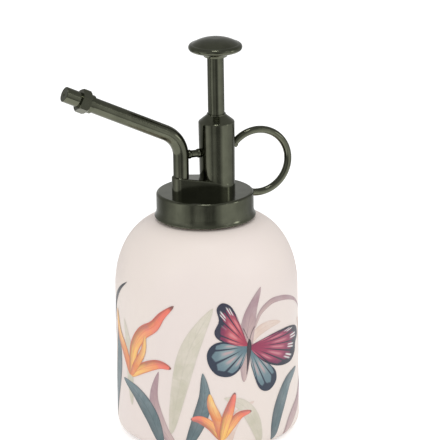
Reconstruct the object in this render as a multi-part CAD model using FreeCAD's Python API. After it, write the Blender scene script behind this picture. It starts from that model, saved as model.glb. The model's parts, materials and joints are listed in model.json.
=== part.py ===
import FreeCAD, Part

import math
import os

from FreeCAD import Vector as V

# Hand mister: a coated glass bottle with a plunger pump head, a goose-neck spout and a finger ring.
# Millimetres. Z is up from the centre of the bottle's base, the spout points to -X, the ring to +X.

# ---- bottle
BOTTLE_D = 75.0            # outer diameter of the body
SIDE_TOP = 61.0            # height where the straight side turns into the shoulder
SHOULDER_RISE = 28.6       # height of the elliptical shoulder above that
SHOULDER_LEDGE = 2.5       # width of the flat ledge round the neck
GLASS_WALL = 2.5
BASE_THICK = 4.0
BASE_ROUND = 5.0
INSIDE_ROUND = 4.0
NECK_R = 15.5              # thread root
NECK_H = 7.8
NECK_EDGE = 0.5

# ---- closure
THREAD_PITCH = 3.2
THREAD_TURNS = 1.2
THREAD_DEPTH = 1.1
THREAD_BASE_W = 1.3
THREAD_CREST_W = 0.7
THREAD_START = 1.7         # first thread centre above the shoulder ledge
COLLAR_H = 10.3
COLLAR_WALL = 1.3
COLLAR_DECK = 1.2
COLLAR_FLARE = 0.8         # how far the foot stands out
COLLAR_FLARE_H = 2.6       # height of the hollow curve above the lip
COLLAR_LIP = 0.5           # upright edge of the foot
COLLAR_EDGE = 1.1
LINER_LIFT = 0.4           # liner's end above the collar's foot
LINER_WALL = 1.5
GASKET_THICK = 1.0
GASKET_INSET = 0.2         # gasket reaches this far over the neck's bore

# ---- pump housing
BARREL_INSET = 14.4        # barrel axis inside the collar's edge
BARREL_WALL = 1.1
BARREL_FLARE = 0.25        # the barrel widens upwards by this much in radius
BARREL_H = 27.9            # above the collar's deck
CAP_H = 4.2
CAP_MOUTH_R = 3.9
CAP_EDGE = 0.9
BOSS_LAND = 0.15           # boss beyond the barrel's foot
RISER_WALL = 0.65          # boss wall round the riser
BOSS_RISER_H = 7.0         # boss height at the spout's riser
BOSS_SLOPE = 9.5           # degrees, down towards the barrel
BOSS_EDGE = 0.8
SPIGOT_INSET = 1.0
GLAND_POCKET = 0.5         # how far the seal's pocket reaches above the barrel's rim

# ---- pump
CYLINDER_R = 6.0
CYLINDER_BORE_R = 4.8
CYLINDER_H = 54.0
FLANGE_RIM = 0.9           # flange beyond the neck's root
FLANGE_THICK = 1.2
DUCT_R = 2.0
DUCT_BORE_R = 1.1
DUCT_STEP = 1.7            # duct axis outside the cylinder's wall
ROD_R = 3.4
ROD_STUD_R = 2.0
STROKE = 22.0
KNOB_CLEAR = 2.0           # knob above the gland when pressed
PISTON_H = 8.0
PISTON_FLOOR = 1.0         # below the rod's stud
GROOVE_SIDE = 0.1          # seal groove beyond the cord on each side
PORT_LIFT = 0.4            # outlet port above the valve plug
PISTON_STOP = 0.4          # piston top below the guide bush at rest
SEAL_CORD_R = 0.58
GLAND_CORD_R = 0.68
GLAND_H = 3.5              # plug of the cap inside the barrel
BUSH_H = 2.2
SPRING_WIRE_R = 0.45
SPRING_MEAN_R = 4.1
SPRING_TURNS = 8

# ---- thumb knob
KNOB_R = 11.0
KNOB_CROWN = 2.4           # height of the dome above the rim
KNOB_FLAT_R = 1.5
KNOB_DEPTH = 5.3           # how far the rod goes into the knob
KNOB_HUB_R = 4.8
KNOB_HUB_H = 2.4
KNOB_RIM = 1.4

# ---- inlet valve and dip tube
VALVE_PLUG_H = 6.0
VALVE_FLANGE = 1.4
INLET_SEAT = 1.0           # seat's edge above the cylinder's foot
VALVE_TAIL_H = 7.6
VALVE_TAIL_R = 4.0
INLET_HOLE_R = 1.2
INLET_BALL_R = 2.0
INLET_POCKET_R = 2.4
INLET_LIP_R = 1.7
INLET_LIP = 0.6
DIP_R = 2.75
DIP_BORE_R = 1.75
STRAINER_R = 3.6
STRAINER_H = 10.0
STRAINER_FLOOR = 1.0       # floor of the cup, and its height above the glass
TUBE_STANDOFF = 2.0        # dip tube above the cup's floor
SLOT_H = 1.6
STRAINER_SLOTS = 6
SLOT_W = 0.8

# ---- outlet valve
PASSAGE_R = 0.9
PASSAGE_Z = 0.8            # above the collar's deck
CAGE_LEDGE = 0.3           # cage above the passage's roof
CAGE_FLOOR = 0.5           # from the cage's foot to the seat's edge
OUTLET_ROOM = 0.8          # free height above the ball
CAGE_R = 2.38
CAGE_POCKET_R = 1.6
CAGE_TOP = 0.6
CAGE_HOLE_R = 0.6
OUTLET_BALL_R = 1.2

# ---- spout
RISER_PITCH = 15.6         # riser axis from the barrel axis
SPOUT_R = 3.2
SPOUT_BORE_R = 2.45
SPOUT_SOCKET = 2.6         # depth of the riser in the boss
CORNER_H = 23.2            # where the two straight axes cross, above the deck
SPOUT_RISE = 26.1          # degrees above level
BEND_R = 11.5
SPOUT_REACH = 43.2         # from the corner to the tube's end
BRACE_H = 16.1
BRACE_R = 1.55

# ---- finger ring
RING_OUT = 3.2             # ring centre outside the collar's wall
RING_H = 9.9
RING_MEAN_R = 13.3
RING_CORD_R = 1.5
RING_START = 141.0         # degrees, inside the barrel's wall
RING_END = -110.0          # degrees, inside the collar's wall

# ---- nozzle, distances along the spout from the corner
NECK_RING_AT = 41.8
NECK_RING_R = 3.85
CAP_AT = 43.7
HEX_LEN = 4.0
HEX_CORNER_R = 5.0
HEX_CHAMFER = 0.5
TIP_R = 3.2
TIP_LEN = 6.8
TIP_FACE = 1.2
TIP_BORE_R = 2.0
TIP_EDGE = 0.3
ORIFICE_R = 0.4
ORIFICE_FLARE = 0.7
ORIFICE_DISH = 0.5
STUB_R = 3.25
STUB_LEN = 2.8
SWIRL_R = 1.6
SWIRL_SLOTS = 3
SWIRL_SLOT_W = 0.7
SWIRL_SLOT_DEPTH = 0.6
SWIRL_GAP = 0.4            # behind the orifice's plate, and in front of the tube's end
NOZZLE_CORD_R = 0.31

# ---- clearances
FIT = 0.05                 # pushed or screwed together
RUNNING = 0.06             # shaft in a bore
SEAT = 0.02                # ball, gasket or seal against its seat
THREAD_GAP = 0.4           # neck crest to liner root
MERGE = 0.3                # how deep a ridge is set into the wall that carries it

# ---- heights and places that follow
LEDGE_Z = SIDE_TOP + SHOULDER_RISE
NECK_TOP = LEDGE_Z + NECK_H
FLANGE_Z = NECK_TOP + GASKET_THICK
DECK_UNDER = FLANGE_Z + FLANGE_THICK
DECK_Z = DECK_UNDER + COLLAR_DECK
COLLAR_FOOT = DECK_Z - COLLAR_H
BARREL_TOP = DECK_Z + BARREL_H
BARREL_BORE_R = CYLINDER_R + FIT
CYLINDER_TOP = BARREL_TOP - GLAND_H - FIT
CYLINDER_FOOT = CYLINDER_TOP - CYLINDER_H
PISTON_TOP = CYLINDER_TOP - PISTON_STOP
PISTON_FOOT = PISTON_TOP - PISTON_H
VALVE_TOP = CYLINDER_FOOT + VALVE_PLUG_H
KNOB_Z = BARREL_TOP + CAP_H + STROKE + KNOB_CLEAR
NECK_BORE_R = NECK_R - GLASS_WALL
SHOULDER_LEDGE_R = NECK_R + SHOULDER_LEDGE
LINER_BORE_R = NECK_R + THREAD_DEPTH + THREAD_GAP
LINER_R = LINER_BORE_R + LINER_WALL
COLLAR_R = LINER_R + 2 * FIT + COLLAR_WALL
BARREL_X = COLLAR_R - BARREL_INSET
BARREL_FOOT_R = CYLINDER_R + FIT + BARREL_WALL
BARREL_TOP_R = BARREL_FOOT_R + BARREL_FLARE
BOSS_BARREL_R = BARREL_FOOT_R + BOSS_LAND
BOSS_RISER_R = SPOUT_R + FIT + RISER_WALL
FLANGE_R = NECK_R + FLANGE_RIM
RISER_X = BARREL_X - RISER_PITCH
RING_X = COLLAR_R + RING_OUT
DUCT_OFFSET = CYLINDER_R + DUCT_STEP
DUCT_X = BARREL_X - DUCT_OFFSET
RISER_TOP = DECK_Z + BOSS_RISER_H
RISER_FOOT = RISER_TOP - SPOUT_SOCKET
DIP_TOP = CYLINDER_FOOT - VALVE_FLANGE - FIT
DIP_FOOT = BASE_THICK + STRAINER_FLOOR + TUBE_STANDOFF
SPOUT_ANGLE = math.radians(SPOUT_RISE)
SPOUT_DIR = V(-math.cos(SPOUT_ANGLE), 0, math.sin(SPOUT_ANGLE))
CORNER = V(RISER_X, 0, DECK_Z + CORNER_H)
ROOT2 = math.sqrt(2.0)


# ---- helpers
def rod(radius, z0, z1, x=0.0):
    return Part.makeCylinder(radius, z1 - z0, V(x, 0, z0))


def pipe(outer, inner, z0, z1, x=0.0):
    return rod(outer, z0, z1, x).cut(rod(inner, z0, z1, x))


def cone(r0, r1, z0, z1, x=0.0):
    return Part.makeCone(r0, r1, z1 - z0, V(x, 0, z0))


def torus(mean_r, cord_r, z, x=0.0):
    return Part.makeTorus(mean_r, cord_r, V(x, 0, z), V(0, 0, 1))


def polygon(points):
    corners = [V(*p) for p in points]
    return Part.makePolygon(corners + corners[:1])


def spin(points, x=0.0):
    """Turn a closed outline of (radius, height) points about the upright axis at x."""
    face = Part.Face(polygon([(r, 0, z) for r, z in points]))
    solid = face.revolve(V(0, 0, 0), V(0, 0, 1), 360)
    solid.translate(V(x, 0, 0))
    return solid


def round_edges(solid, radius, chosen):
    edges = [e for e in solid.Edges if chosen(e)]
    return solid.makeFillet(radius, edges)


def circle_at(edge, radius, z):
    curve = edge.Curve
    if not isinstance(curve, Part.Circle):
        return False
    return abs(curve.Radius - radius) < 1e-4 and abs(edge.BoundBox.Center.z - z) < 1e-4


def box_between(low, high):
    return Part.makeBox(high[0] - low[0], high[1] - low[1], high[2] - low[2], V(*low))


def along_spout(solid):
    """Place a solid that was drawn up the Z axis from the corner onto the spout's axis."""
    placed = solid.copy()
    placed.Placement = FreeCAD.Placement(CORNER, FreeCAD.Rotation(V(0, 0, 1), SPOUT_DIR))
    return placed


def thread_ridge(root_r, outward, z_start):
    """A right-handed trapezoidal ridge, outward from a neck or inward from a bore."""
    helix = Part.makeHelix(THREAD_PITCH, THREAD_PITCH * THREAD_TURNS, root_r)
    inner = root_r - outward * MERGE
    crest = root_r + outward * THREAD_DEPTH
    half_base, half_crest = THREAD_BASE_W / 2, THREAD_CREST_W / 2
    outline = polygon([(inner, 0, -half_base), (root_r, 0, -half_base), (crest, 0, -half_crest),
                       (crest, 0, half_crest), (root_r, 0, half_base), (inner, 0, half_base)])
    ridge = Part.Wire(helix).makePipeShell([outline], True, True)
    ridge.translate(V(0, 0, z_start))
    return ridge


def boss_outline(inset, z):
    """The hull of two circles, round the barrel and round the riser."""
    near, far = BOSS_BARREL_R - inset, BOSS_RISER_R - inset
    nx = -(near - far) / (BARREL_X - RISER_X)
    ny = math.sqrt(1 - nx * nx)

    def at(x, radius, ux, uy):
        return V(x + radius * ux, radius * uy, z)

    a, b = at(BARREL_X, near, nx, ny), at(RISER_X, far, nx, ny)
    c, d = at(RISER_X, far, nx, -ny), at(BARREL_X, near, nx, -ny)
    edges = [Part.LineSegment(a, b).toShape(), Part.Arc(b, at(RISER_X, far, -1, 0), c).toShape(),
             Part.LineSegment(c, d).toShape(), Part.Arc(d, at(BARREL_X, near, 1, 0), a).toShape()]
    return Part.Face(Part.Wire(edges))


def boss_top(x):
    return RISER_TOP - (x - RISER_X) * math.tan(math.radians(BOSS_SLOPE))


# ---- bottle
def shoulder_arc(offset):
    """A quarter ellipse from the ledge to the straight side, set in by an offset."""
    centre = V(SHOULDER_LEDGE_R, 0, SIDE_TOP)
    top = centre + V(0, 0, SHOULDER_RISE - offset)
    side = V(BOTTLE_D / 2 - offset, 0, SIDE_TOP)
    return Part.ArcOfEllipse(Part.Ellipse(top, side, centre), 0, math.pi / 2).toShape()


def bottle_skin(offset, floor, corner, mouth_r, mouth_z):
    """Closed half outline of the glass, outside for offset 0 or inside for the wall's thickness."""
    radius = BOTTLE_D / 2 - offset
    ledge = LEDGE_Z - offset
    middle = V(radius - corner * (1 - 1 / ROOT2), 0, floor + corner * (1 - 1 / ROOT2))
    edges = [
        Part.LineSegment(V(0, 0, floor), V(radius - corner, 0, floor)).toShape(),
        Part.Arc(V(radius - corner, 0, floor), middle, V(radius, 0, floor + corner)).toShape(),
        Part.LineSegment(V(radius, 0, floor + corner), V(radius, 0, SIDE_TOP)).toShape(),
        shoulder_arc(offset),
        Part.LineSegment(V(SHOULDER_LEDGE_R, 0, ledge), V(mouth_r, 0, ledge)).toShape(),
        Part.LineSegment(V(mouth_r, 0, ledge), V(mouth_r, 0, mouth_z)).toShape(),
        Part.LineSegment(V(mouth_r, 0, mouth_z), V(0, 0, mouth_z)).toShape(),
        Part.LineSegment(V(0, 0, mouth_z), V(0, 0, floor)).toShape(),
    ]
    wire = Part.Wire(Part.__sortEdges__(edges))
    return Part.Face(wire).revolve(V(0, 0, 0), V(0, 0, 1), 360)


def bottle():
    glass = bottle_skin(0, 0, BASE_ROUND, NECK_R, NECK_TOP)
    glass = round_edges(glass, NECK_EDGE, lambda e: circle_at(e, NECK_R, NECK_TOP))
    hollow = bottle_skin(GLASS_WALL, BASE_THICK, INSIDE_ROUND, NECK_BORE_R, NECK_TOP + 1.0)
    glass = glass.cut(hollow)
    return glass.fuse(thread_ridge(NECK_R, 1, LEDGE_Z + THREAD_START))


def neck_gasket():
    return pipe(FLANGE_R - 2 * FIT, NECK_BORE_R - GASKET_INSET, NECK_TOP + SEAT, FLANGE_Z - SEAT)


# ---- closure
def collar_blank():
    """The collar's outside as a full drum: straight wall, rounded top and a foot that flares out."""
    foot_r = COLLAR_R + COLLAR_FLARE
    lip = COLLAR_FOOT + COLLAR_LIP
    # circle that leaves the upright wall smoothly and ends at the lip
    hollow_r = (COLLAR_FLARE_H ** 2 + COLLAR_FLARE ** 2) / (2 * COLLAR_FLARE)
    wall_end = lip + COLLAR_FLARE_H
    half_turn = math.asin(COLLAR_FLARE_H / hollow_r) / 2
    middle = V(COLLAR_R + hollow_r * (1 - math.cos(half_turn)), 0,
               wall_end - hollow_r * math.sin(half_turn))
    start, end = V(COLLAR_R, 0, wall_end), V(foot_r, 0, lip)
    side = [Part.Arc(start, middle, end).toShape()]
    side += Part.makePolygon([end, V(foot_r, 0, COLLAR_FOOT), V(0, 0, COLLAR_FOOT), V(0, 0, DECK_Z),
                              V(COLLAR_R, 0, DECK_Z), start]).Edges
    drum = Part.Face(Part.Wire(side)).revolve(V(0, 0, 0), V(0, 0, 1), 360)
    drum = round_edges(drum, COLLAR_EDGE, lambda e: circle_at(e, COLLAR_R, DECK_Z))
    return round_edges(drum, COLLAR_LIP / 2, lambda e: circle_at(e, foot_r, COLLAR_FOOT))


def collar_shell():
    inside = rod(COLLAR_R - COLLAR_WALL, COLLAR_FOOT - 1, DECK_UNDER)
    window = boss_outline(SPIGOT_INSET - FIT, DECK_UNDER - 1).extrude(V(0, 0, COLLAR_DECK + 2))
    return collar_blank().cut(inside).cut(window)


def threaded_liner():
    sleeve = pipe(LINER_R, LINER_BORE_R, COLLAR_FOOT + LINER_LIFT, DECK_UNDER)
    ridge = thread_ridge(LINER_BORE_R, -1, LEDGE_Z + THREAD_START + THREAD_PITCH / 2)
    return sleeve.fuse(ridge)


# ---- pump housing
def barrel_blank():
    return cone(BARREL_FOOT_R, BARREL_TOP_R, DECK_Z, BARREL_TOP, BARREL_X)


def boss_blank():
    block = boss_outline(0, DECK_Z).extrude(V(0, 0, BOSS_RISER_H + 2))
    left, right, high = -BOTTLE_D, BOTTLE_D, DECK_Z + BOTTLE_D
    waste = Part.Face(polygon([(left, -BOTTLE_D, boss_top(left)), (right, -BOTTLE_D, boss_top(right)),
                               (right, -BOTTLE_D, high), (left, -BOTTLE_D, high)]))
    block = block.cut(waste.extrude(V(0, 2 * BOTTLE_D, 0)))

    def on_top(edge):
        return all(abs(v.Z - boss_top(v.X)) < 1e-4 for v in edge.Vertexes)

    return round_edges(block, BOSS_EDGE, on_top)


def pump_housing():
    spigot = boss_outline(SPIGOT_INSET, DECK_UNDER).extrude(V(0, 0, COLLAR_DECK))
    body = boss_blank().fuse(spigot).fuse(barrel_blank())
    passage_z = DECK_Z + PASSAGE_Z
    across = Part.makeCylinder(PASSAGE_R, DUCT_X - RISER_X, V(RISER_X, 0, passage_z), V(1, 0, 0))
    for tool in (rod(BARREL_BORE_R, DECK_UNDER - 1, BARREL_TOP + 1, BARREL_X),
                 rod(DUCT_BORE_R, DECK_UNDER - 1, passage_z, DUCT_X), across,
                 rod(PASSAGE_R, passage_z, cage_foot_z(), RISER_X),
                 rod(CAGE_R + FIT, cage_foot_z(), RISER_FOOT, RISER_X),
                 rod(SPOUT_R + FIT, RISER_FOOT - FIT, RISER_TOP + 2, RISER_X)):
        body = body.cut(tool)
    return body


def barrel_cap():
    """Conical gland that screws into the barrel and guides the rod."""
    top = BARREL_TOP + CAP_H
    crown = spin([(0, BARREL_TOP), (BARREL_TOP_R, BARREL_TOP), (BARREL_TOP_R, BARREL_TOP + CAP_EDGE),
                  (CAP_MOUTH_R, top - CAP_EDGE / 2), (CAP_MOUTH_R, top), (0, top)], BARREL_X)
    crown = round_edges(crown, CAP_EDGE,
                        lambda e: circle_at(e, BARREL_TOP_R, BARREL_TOP + CAP_EDGE))
    plug = rod(BARREL_BORE_R - FIT, BARREL_TOP - GLAND_H, BARREL_TOP, BARREL_X)
    pocket = rod(gland_pocket_r(), BARREL_TOP - GLAND_H, BARREL_TOP + GLAND_POCKET, BARREL_X)
    shaft = rod(ROD_R + RUNNING, BARREL_TOP - GLAND_H, top + 1, BARREL_X)
    return crown.fuse(plug).cut(pocket).cut(shaft)


def gland_pocket_r():
    return ROD_R + RUNNING + 2 * GLAND_CORD_R + SEAT


def guide_bush():
    foot = BARREL_TOP - GLAND_H
    return pipe(gland_pocket_r() - FIT, ROD_R + RUNNING, foot, foot + BUSH_H, BARREL_X)


def rod_seal():
    middle = (BARREL_TOP - GLAND_H + BUSH_H + BARREL_TOP + GLAND_POCKET) / 2
    return torus(ROD_R + RUNNING + GLAND_CORD_R, GLAND_CORD_R, middle, BARREL_X)


# ---- pump
def pump_cylinder():
    body = rod(CYLINDER_R, CYLINDER_FOOT, CYLINDER_TOP, BARREL_X)
    body = body.fuse(rod(FLANGE_R, FLANGE_Z, DECK_UNDER))
    body = body.fuse(rod(DUCT_R, VALVE_TOP - 0.5, FLANGE_Z, DUCT_X))
    port_z = VALVE_TOP + DUCT_BORE_R + PORT_LIFT
    port = Part.makeCylinder(DUCT_BORE_R, DUCT_OFFSET, V(DUCT_X, 0, port_z), V(1, 0, 0))
    body = body.cut(rod(CYLINDER_BORE_R, CYLINDER_FOOT - 1, CYLINDER_TOP + 1, BARREL_X))
    return body.cut(rod(DUCT_BORE_R, port_z, DECK_UNDER + 1, DUCT_X)).cut(port)


def seal_groove_z():
    return PISTON_FOOT + PISTON_H / 2


def piston():
    body = rod(CYLINDER_BORE_R - RUNNING, PISTON_FOOT, PISTON_TOP, BARREL_X)
    half = SEAL_CORD_R + GROOVE_SIDE
    floor_r = CYLINDER_BORE_R - SEAT - 2 * SEAL_CORD_R - SEAT
    groove = pipe(CYLINDER_R, floor_r, seal_groove_z() - half, seal_groove_z() + half, BARREL_X)
    stud_hole = rod(ROD_STUD_R + FIT, PISTON_FOOT + PISTON_FLOOR, PISTON_TOP, BARREL_X)
    return body.cut(groove).cut(stud_hole)


def piston_seal():
    return torus(CYLINDER_BORE_R - SEAT - SEAL_CORD_R, SEAL_CORD_R, seal_groove_z(), BARREL_X)


def plunger_rod():
    shank = rod(ROD_R, PISTON_TOP, KNOB_Z + KNOB_DEPTH, BARREL_X)
    return shank.fuse(rod(ROD_STUD_R, PISTON_FOOT + PISTON_FLOOR + FIT, PISTON_TOP, BARREL_X))


def thumb_knob():
    rim_z = KNOB_Z + KNOB_HUB_H
    rim_top = rim_z + 2 * KNOB_RIM
    crown_z = rim_top + KNOB_CROWN
    edges = [
        Part.LineSegment(V(0, 0, KNOB_Z), V(KNOB_HUB_R, 0, KNOB_Z)).toShape(),
        Part.Arc(V(KNOB_HUB_R, 0, KNOB_Z), V(KNOB_HUB_R + 0.9, 0, KNOB_Z + KNOB_HUB_H * 0.65),
                 V(KNOB_R - KNOB_RIM, 0, rim_z)).toShape(),
        Part.Arc(V(KNOB_R - KNOB_RIM, 0, rim_z), V(KNOB_R, 0, rim_z + KNOB_RIM),
                 V(KNOB_R - KNOB_RIM, 0, rim_top)).toShape(),
        Part.Arc(V(KNOB_R - KNOB_RIM, 0, rim_top), V(KNOB_R * 0.55, 0, crown_z - KNOB_CROWN * 0.3),
                 V(KNOB_FLAT_R, 0, crown_z)).toShape(),
        Part.LineSegment(V(KNOB_FLAT_R, 0, crown_z), V(0, 0, crown_z)).toShape(),
        Part.LineSegment(V(0, 0, crown_z), V(0, 0, KNOB_Z)).toShape(),
    ]
    knob = Part.Face(Part.Wire(edges)).revolve(V(0, 0, 0), V(0, 0, 1), 360)
    knob.translate(V(BARREL_X, 0, 0))
    return knob.cut(rod(ROD_R + FIT, KNOB_Z - 1, KNOB_Z + KNOB_DEPTH + FIT, BARREL_X))


def return_spring():
    foot = VALVE_TOP + SEAT + SPRING_WIRE_R
    length = PISTON_FOOT - SEAT - SPRING_WIRE_R - foot
    helix = Part.makeHelix(length / SPRING_TURNS, length, SPRING_MEAN_R)
    wire_end = Part.Wire(Part.makeCircle(SPRING_WIRE_R, V(SPRING_MEAN_R, 0, 0), V(0, 1, 0)))
    coil = Part.Wire(helix).makePipeShell([wire_end], True, True)
    coil.translate(V(BARREL_X, 0, foot))
    return coil


# ---- inlet valve and dip tube
def inlet_seat_z():
    return CYLINDER_FOOT + INLET_SEAT


def inlet_valve_seat():
    flange_foot = CYLINDER_FOOT - VALVE_FLANGE
    tail_foot = flange_foot - VALVE_TAIL_H
    seat = inlet_seat_z()
    slope_top = seat + INLET_POCKET_R - INLET_HOLE_R
    body = rod(CYLINDER_BORE_R - SEAT, CYLINDER_FOOT, VALVE_TOP, BARREL_X)
    body = body.fuse(rod(CYLINDER_R, flange_foot, CYLINDER_FOOT, BARREL_X))
    body = body.fuse(rod(VALVE_TAIL_R, tail_foot, flange_foot, BARREL_X))
    for tool in (rod(DIP_R + FIT, tail_foot - 1, flange_foot, BARREL_X),
                 rod(INLET_HOLE_R, flange_foot - 1, seat, BARREL_X),
                 cone(INLET_HOLE_R, INLET_POCKET_R, seat, slope_top, BARREL_X),
                 rod(INLET_POCKET_R, slope_top, VALVE_TOP - INLET_LIP, BARREL_X),
                 rod(INLET_LIP_R, slope_top, VALVE_TOP + 1, BARREL_X)):
        body = body.cut(tool)
    return body


def inlet_ball():
    centre_z = inlet_seat_z() - INLET_HOLE_R + (INLET_BALL_R + SEAT) * ROOT2
    return Part.makeSphere(INLET_BALL_R, V(BARREL_X, 0, centre_z))


def dip_tube():
    return pipe(DIP_R, DIP_BORE_R, DIP_FOOT, DIP_TOP, BARREL_X)


def dip_strainer():
    foot = BASE_THICK + STRAINER_FLOOR
    cup = rod(STRAINER_R, foot, foot + STRAINER_H, BARREL_X)
    cup = cup.cut(rod(DIP_R + FIT, DIP_FOOT - 2 * FIT, foot + STRAINER_H + 1, BARREL_X))
    cup = cup.cut(rod(DIP_BORE_R, foot + STRAINER_FLOOR, DIP_FOOT, BARREL_X))
    for k in range(STRAINER_SLOTS):
        slot = box_between((0, -SLOT_W / 2, foot - 1), (STRAINER_R + 1, SLOT_W / 2, foot + SLOT_H))
        slot.rotate(V(0, 0, 0), V(0, 0, 1), 360 * k / STRAINER_SLOTS)
        slot.translate(V(BARREL_X, 0, 0))
        cup = cup.cut(slot)
    return cup


# ---- outlet valve
def cage_foot_z():
    return DECK_Z + PASSAGE_Z + PASSAGE_R + CAGE_LEDGE


def outlet_slope_z():
    return cage_foot_z() + CAGE_FLOOR


def outlet_ball_z():
    return outlet_slope_z() - CAGE_HOLE_R + (OUTLET_BALL_R + SEAT) * ROOT2


def outlet_cage():
    """Cup under the riser: a conical seat, a pocket for the ball and a slotted roof that stops it."""
    foot, slope = cage_foot_z(), outlet_slope_z()
    pocket = slope + CAGE_POCKET_R - CAGE_HOLE_R
    roof = outlet_ball_z() + OUTLET_BALL_R + OUTLET_ROOM
    body = rod(CAGE_R, foot, roof + CAGE_TOP, RISER_X)
    body = body.cut(rod(CAGE_HOLE_R, foot - 1, slope, RISER_X))
    body = body.cut(cone(CAGE_HOLE_R, CAGE_POCKET_R, slope, pocket, RISER_X))
    body = body.cut(rod(CAGE_POCKET_R, pocket, roof, RISER_X))
    for long_x, long_y in ((CAGE_POCKET_R, SLOT_W / 2), (SLOT_W / 2, CAGE_POCKET_R)):
        body = body.cut(box_between((RISER_X - long_x, -long_y, roof - 0.1),
                                    (RISER_X + long_x, long_y, roof + CAGE_TOP + 1)))
    return body


def outlet_ball():
    return Part.makeSphere(OUTLET_BALL_R, V(RISER_X, 0, outlet_ball_z()))


# ---- spout
def spout_path():
    run = BEND_R * math.tan((math.pi / 2 - SPOUT_ANGLE) / 2)
    low = V(RISER_X, 0, CORNER.z - run)
    high = CORNER + SPOUT_DIR * run
    centre = low + V(-BEND_R, 0, 0)
    half = (math.pi / 2 - SPOUT_ANGLE) / 2
    middle = centre + V(BEND_R * math.cos(half), 0, BEND_R * math.sin(half))
    return Part.Wire([Part.LineSegment(V(RISER_X, 0, RISER_FOOT), low).toShape(),
                      Part.Arc(low, middle, high).toShape(),
                      Part.LineSegment(high, CORNER + SPOUT_DIR * SPOUT_REACH).toShape()])


def spout_sweep(radius):
    ring = Part.Wire(Part.makeCircle(radius, V(RISER_X, 0, RISER_FOOT), V(0, 0, 1)))
    return spout_path().makePipeShell([ring], True, True)


def spout_tube():
    return spout_sweep(SPOUT_R).cut(spout_sweep(SPOUT_BORE_R))


def spout_brace():
    """Round bar brazed between the riser and the barrel."""
    bar = Part.makeCylinder(BRACE_R, BARREL_X - RISER_X, V(RISER_X, 0, DECK_Z + BRACE_H), V(1, 0, 0))
    barrel = cone(BARREL_FOOT_R + SEAT, BARREL_TOP_R + SEAT, DECK_Z, BARREL_TOP, BARREL_X)
    return bar.cut(barrel).cut(spout_sweep(SPOUT_R + SEAT))


# ---- finger ring
def finger_ring():
    """Round bar bent in the spout's plane, from the barrel's side round to the collar's wall."""
    centre = V(RING_X, 0, DECK_Z + RING_H)

    def at(angle):
        turn = math.radians(angle)
        return centre + V(RING_MEAN_R * math.cos(turn), 0, RING_MEAN_R * math.sin(turn))

    middle = (RING_START + RING_END) / 2
    path = Part.Wire(Part.Arc(at(RING_START), at(middle), at(RING_END)).toShape())
    start = math.radians(RING_START)
    tangent = V(math.sin(start), 0, -math.cos(start))
    end = Part.Wire(Part.makeCircle(RING_CORD_R, at(RING_START), tangent))
    ring = path.makePipeShell([end], True, True)
    barrel = cone(BARREL_FOOT_R + SEAT, BARREL_TOP_R + SEAT, DECK_Z, BARREL_TOP, BARREL_X)
    collar = rod(COLLAR_R + SEAT, COLLAR_FOOT, DECK_Z + SEAT)
    return ring.cut(barrel).cut(collar)


# ---- nozzle
def stub_end():
    return CAP_AT + STUB_LEN


def nozzle_body():
    """Threaded stub that is soldered over the end of the spout."""
    shoulder = CAP_AT - 2 * FIT
    body = rod(NECK_RING_R, NECK_RING_AT, shoulder).fuse(rod(STUB_R, shoulder, stub_end()))
    body = body.cut(rod(SPOUT_R + FIT, NECK_RING_AT - 1, SPOUT_REACH + FIT))
    body = body.cut(rod(SWIRL_R + FIT, SPOUT_REACH, stub_end() + 1))
    return along_spout(body)


def nozzle_cap():
    """Hexagonal grip and spray tip in one piece."""
    hex_end = CAP_AT + HEX_LEN
    tip_end = hex_end + TIP_LEN
    turns = [math.radians(60 * k) for k in range(6)]
    corners = [(HEX_CORNER_R * math.cos(t), HEX_CORNER_R * math.sin(t), CAP_AT) for t in turns]
    grip = Part.Face(polygon(corners)).extrude(V(0, 0, HEX_LEN))
    face_r = HEX_CORNER_R - HEX_CHAMFER
    bevel = spin([(0, CAP_AT), (face_r, CAP_AT), (HEX_CORNER_R, CAP_AT + HEX_CHAMFER),
                  (HEX_CORNER_R, hex_end - HEX_CHAMFER), (face_r, hex_end), (0, hex_end)])
    tip = rod(TIP_R, CAP_AT, tip_end)
    tip = round_edges(tip, TIP_EDGE, lambda e: circle_at(e, TIP_R, tip_end))
    body = grip.common(bevel).fuse(tip)
    cavity_end = stub_end() + 2 * NOZZLE_CORD_R + 2 * SEAT
    for tool in (rod(STUB_R + RUNNING, CAP_AT - 1, cavity_end), rod(TIP_BORE_R, CAP_AT, tip_end - TIP_FACE),
                 rod(ORIFICE_R, CAP_AT, tip_end + 1),
                 cone(ORIFICE_R, ORIFICE_R + ORIFICE_FLARE, tip_end - ORIFICE_DISH, tip_end + SEAT)):
        body = body.cut(tool)
    return along_spout(body)


def nozzle_seal():
    return along_spout(torus((STUB_R + TIP_BORE_R) / 2, NOZZLE_CORD_R, stub_end() + NOZZLE_CORD_R + SEAT))


def swirl_insert():
    """Slotted pin that spins the water just behind the orifice."""
    end = CAP_AT + HEX_LEN + TIP_LEN - TIP_FACE - SWIRL_GAP
    pin = rod(SWIRL_R, SPOUT_REACH + SWIRL_GAP, end)
    for k in range(SWIRL_SLOTS):
        slot = box_between((SWIRL_R - SWIRL_SLOT_DEPTH, -SWIRL_SLOT_W / 2, SPOUT_REACH),
                           (SWIRL_R + 1, SWIRL_SLOT_W / 2, end + 1))
        slot.rotate(V(0, 0, 0), V(0, 0, 1), 360 * k / SWIRL_SLOTS)
        pin = pin.cut(slot)
    return along_spout(pin)


NODES = [bottle, neck_gasket, collar_shell, threaded_liner, pump_housing, barrel_cap, guide_bush, rod_seal,
         pump_cylinder, piston, piston_seal, plunger_rod, thumb_knob, return_spring, inlet_valve_seat,
         inlet_ball, dip_tube, dip_strainer, outlet_cage, outlet_ball, spout_tube, spout_brace, finger_ring,
         nozzle_body, nozzle_cap, nozzle_seal, swirl_insert]

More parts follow.
